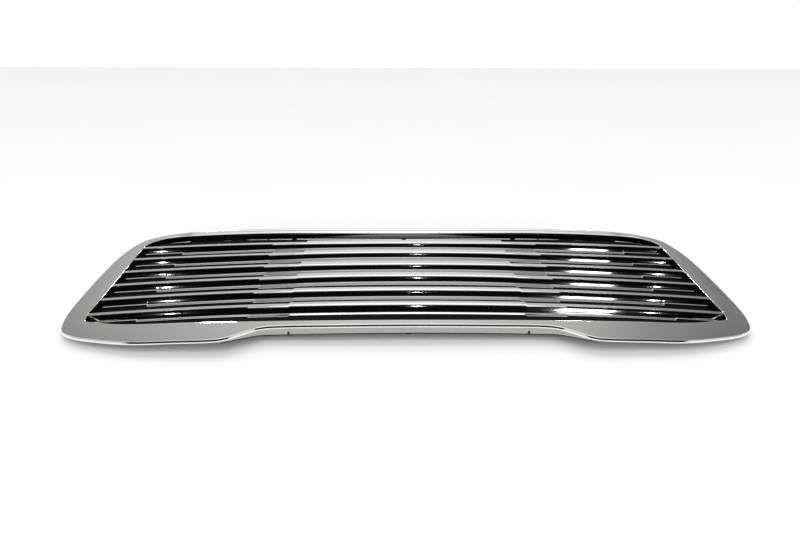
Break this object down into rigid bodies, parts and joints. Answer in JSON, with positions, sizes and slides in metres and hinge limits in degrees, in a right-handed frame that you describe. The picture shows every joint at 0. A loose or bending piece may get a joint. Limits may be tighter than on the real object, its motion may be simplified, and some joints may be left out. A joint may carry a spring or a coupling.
{
  "type": "front grille",
  "caption": "Bowed chrome car front grille: a rounded surround with a notched lower edge and stepped horizontal slats on a black backing panel, with hidden carriers, rails and brackets.",
  "frame": {"origin": "middle of the footprint, on the plane that the rubber buffers rest on", "axes": "+X across the car, +Y towards the bonnet edge, +Z out of the front face; the grille lies on its back"},
  "size_m": [0.921, 0.3752, 0.029],
  "materials": {
    "chrome": "polished",
    "satin_chrome": "satin",
    "black_plastic": "fine grain",
    "zinc_steel": "zinc plated",
    "rubber": "matt",
    "foam": "open foam",
    "nylon": "natural"
  },
  "bodies": {
    "root": {"surround": "chrome", "slat_1": "chrome", "slat_2": "chrome", "slat_3": "chrome", "slat_4": "chrome", "slat_5": "chrome", "slat_6": "chrome", "lower_skirt": "satin_chrome", "upper_rail": "black_plastic", "lower_rail": "black_plastic", "carrier_left": "black_plastic", "carrier_right": "black_plastic", "rib_outer_left": "black_plastic", "rib_inner_left": "black_plastic", "rib_centre": "black_plastic", "rib_inner_right": "black_plastic", "rib_outer_right": "black_plastic", "backing_panel": "black_plastic", "upper_bracket_left": "zinc_steel", "upper_bracket_right": "zinc_steel", "lower_bracket_left": "zinc_steel", "lower_bracket_right": "zinc_steel", "surround_screws": "zinc_steel", "rib_screws": "zinc_steel", "bracket_screws": "zinc_steel", "skirt_clips": "nylon", "rubber_buffers": "rubber", "upper_seal": "foam", "lower_seal_left": "foam", "lower_seal_right": "foam"}
  },
  "joints": []
}
